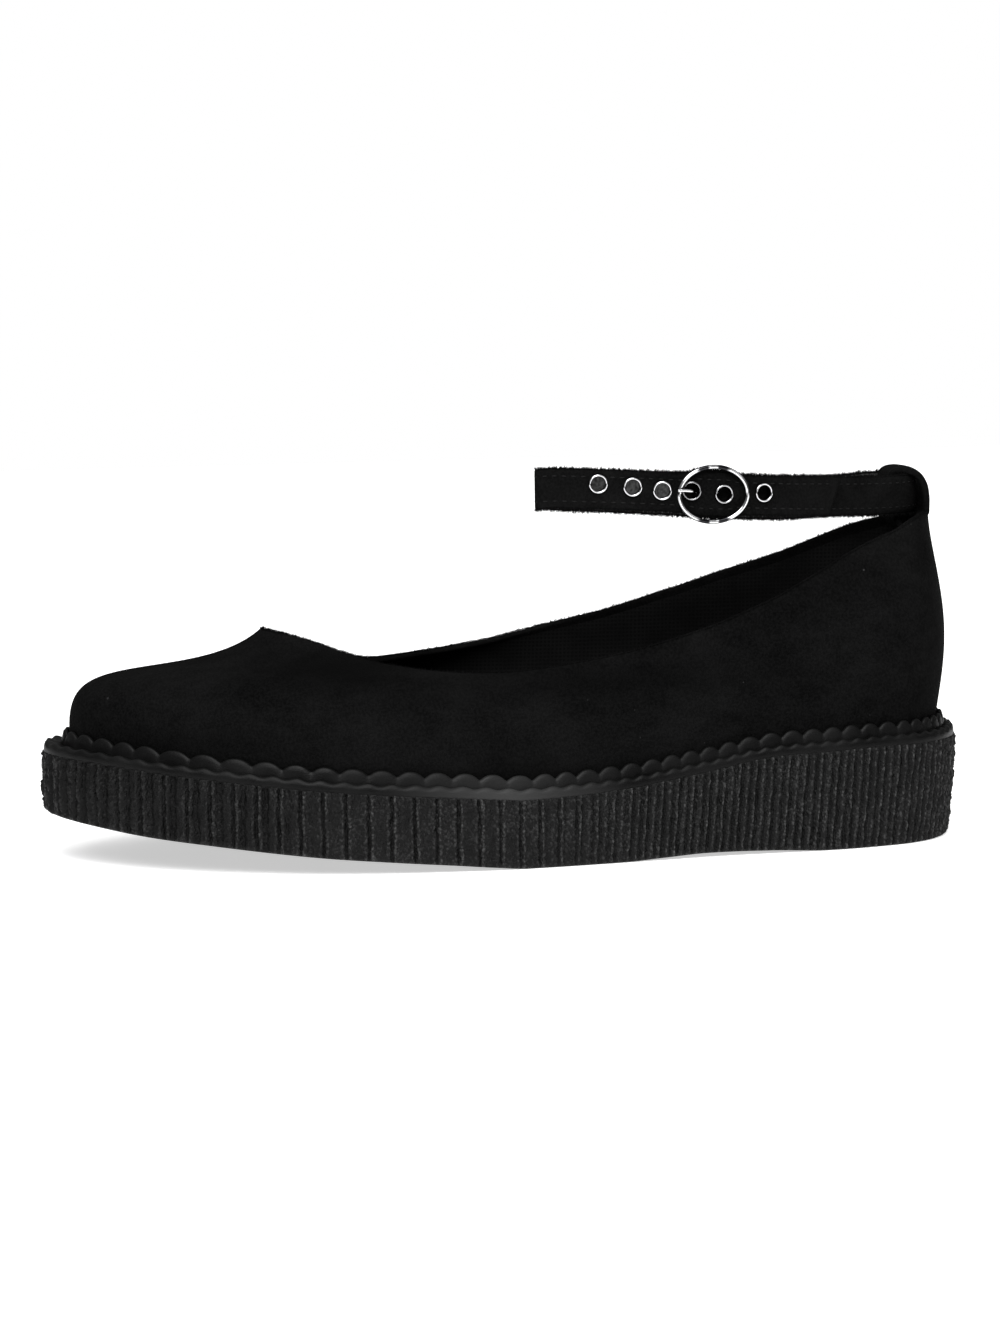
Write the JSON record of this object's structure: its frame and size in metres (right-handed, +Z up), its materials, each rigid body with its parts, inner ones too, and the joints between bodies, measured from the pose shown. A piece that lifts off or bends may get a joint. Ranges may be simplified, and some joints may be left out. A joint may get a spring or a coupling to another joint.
{
  "type": "creeper shoe",
  "caption": "Left ankle-strap creeper pump: black suede upper, low platform sole with vertical ribs, wavy rim band and scalloped welt, oval buckle, eyelets and a heel loop.",
  "frame": {"origin": "on the floor, under the middle of the shoe's outline", "axes": "+X from the toe to the heel, -Y to the outer side of the foot, +Z up"},
  "size_m": [0.271, 0.0976, 0.1142],
  "materials": {
    "sole_rubber": "matt, pebbled",
    "rim_rubber": "satin, smooth",
    "suede": "black suede nap",
    "lining": "matt woven lining",
    "chrome": "polished"
  },
  "bodies": {
    "root": {"platform_sole": "sole_rubber", "rim_band": "rim_rubber", "welt_strip": "rim_rubber", "upper": "suede", "insole": "lining", "heel_loop": "suede", "ankle_strap": "suede", "eyelet_1": "chrome", "eyelet_2": "chrome", "eyelet_3": "chrome", "eyelet_4": "chrome", "eyelet_5": "chrome", "eyelet_6": "chrome", "buckle_ring": "chrome", "buckle_prong": "chrome"}
  },
  "joints": []
}
